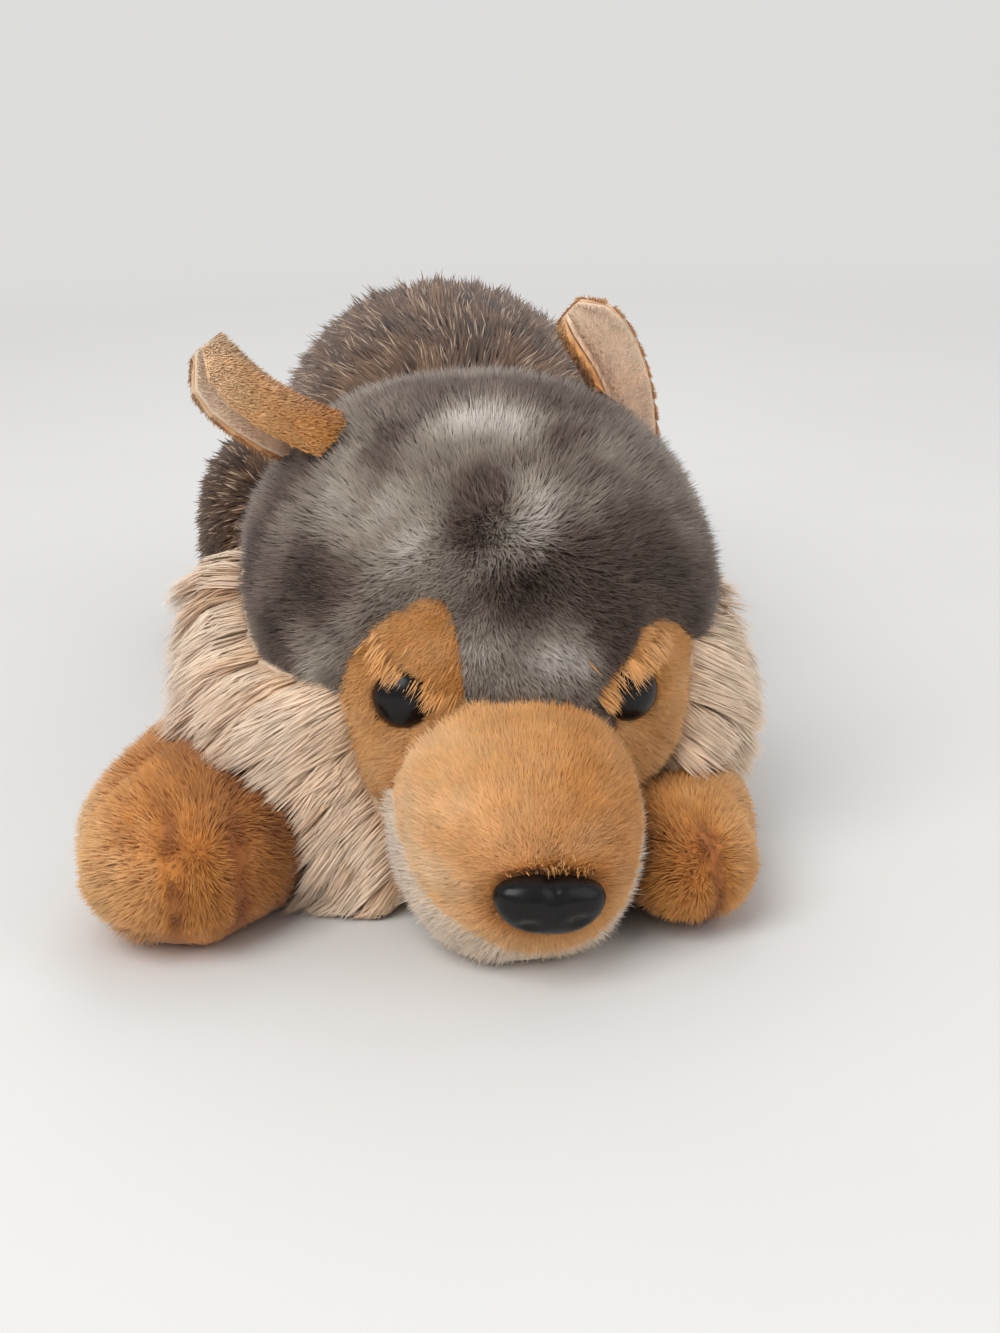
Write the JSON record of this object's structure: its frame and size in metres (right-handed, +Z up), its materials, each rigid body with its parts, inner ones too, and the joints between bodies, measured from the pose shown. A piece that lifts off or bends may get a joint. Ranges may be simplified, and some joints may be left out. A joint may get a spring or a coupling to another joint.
{
  "type": "plush wolf",
  "caption": "Lying plush wolf toy with a mottled grey crown, cream ruff, tan muzzle and legs, long-haired brown back, plastic eyes and nose, curled ears and a resting tail.",
  "frame": {"origin": "middle of the footprint, on the surface that the toy lies on", "axes": "+Z up, nose towards -Y, +X to the animal's own left"},
  "size_m": [0.1992, 0.4544, 0.1357],
  "materials": {
    "crown_fur": "short dense plush, mottled light grey and dark brown-grey",
    "tan_fur": "short dense tan plush",
    "cream_fur": "cream plush, long and combed at the ruff",
    "back_fur": "long brown plush with pale grey tips",
    "ear_suede": "short pinkish brown suede cloth",
    "black_plastic": "polished black plastic",
    "washer_plastic": "plain moulded plastic, hidden inside",
    "stuffing": "white polyester filling, hidden inside"
  },
  "bodies": {
    "root": {"crown_panel": "crown_fur", "face_patch_right": "tan_fur", "face_patch_left": "tan_fur", "cheek_right": "cream_fur", "cheek_left": "cream_fur", "muzzle_top": "tan_fur", "chin_panel": "cream_fur", "nose": "black_plastic", "nose_washer": "washer_plastic", "eye_right": "black_plastic", "eye_left": "black_plastic", "eye_washer_right": "washer_plastic", "eye_washer_left": "washer_plastic", "ear_back_right": "tan_fur", "ear_back_left": "tan_fur", "ear_lining_right": "ear_suede", "ear_lining_left": "ear_suede", "head_stuffing": "stuffing", "back_panel": "back_fur", "belly_panel": "cream_fur", "body_stuffing": "stuffing", "front_leg_right_cover": "tan_fur", "front_leg_right_sole": "tan_fur", "front_leg_right_stuffing": "stuffing", "front_leg_left_cover": "tan_fur", "front_leg_left_sole": "tan_fur", "front_leg_left_stuffing": "stuffing", "thigh_right": "back_fur", "thigh_left": "back_fur", "thigh_stuffing_right": "stuffing", "thigh_stuffing_left": "stuffing", "hind_foot_cover_right": "tan_fur", "hind_foot_cover_left": "tan_fur", "hind_foot_sole_right": "tan_fur", "hind_foot_sole_left": "tan_fur", "hind_foot_stuffing_right": "stuffing", "hind_foot_stuffing_left": "stuffing", "tail_top": "back_fur", "tail_underside": "cream_fur", "tail_stuffing": "stuffing"}
  },
  "joints": []
}
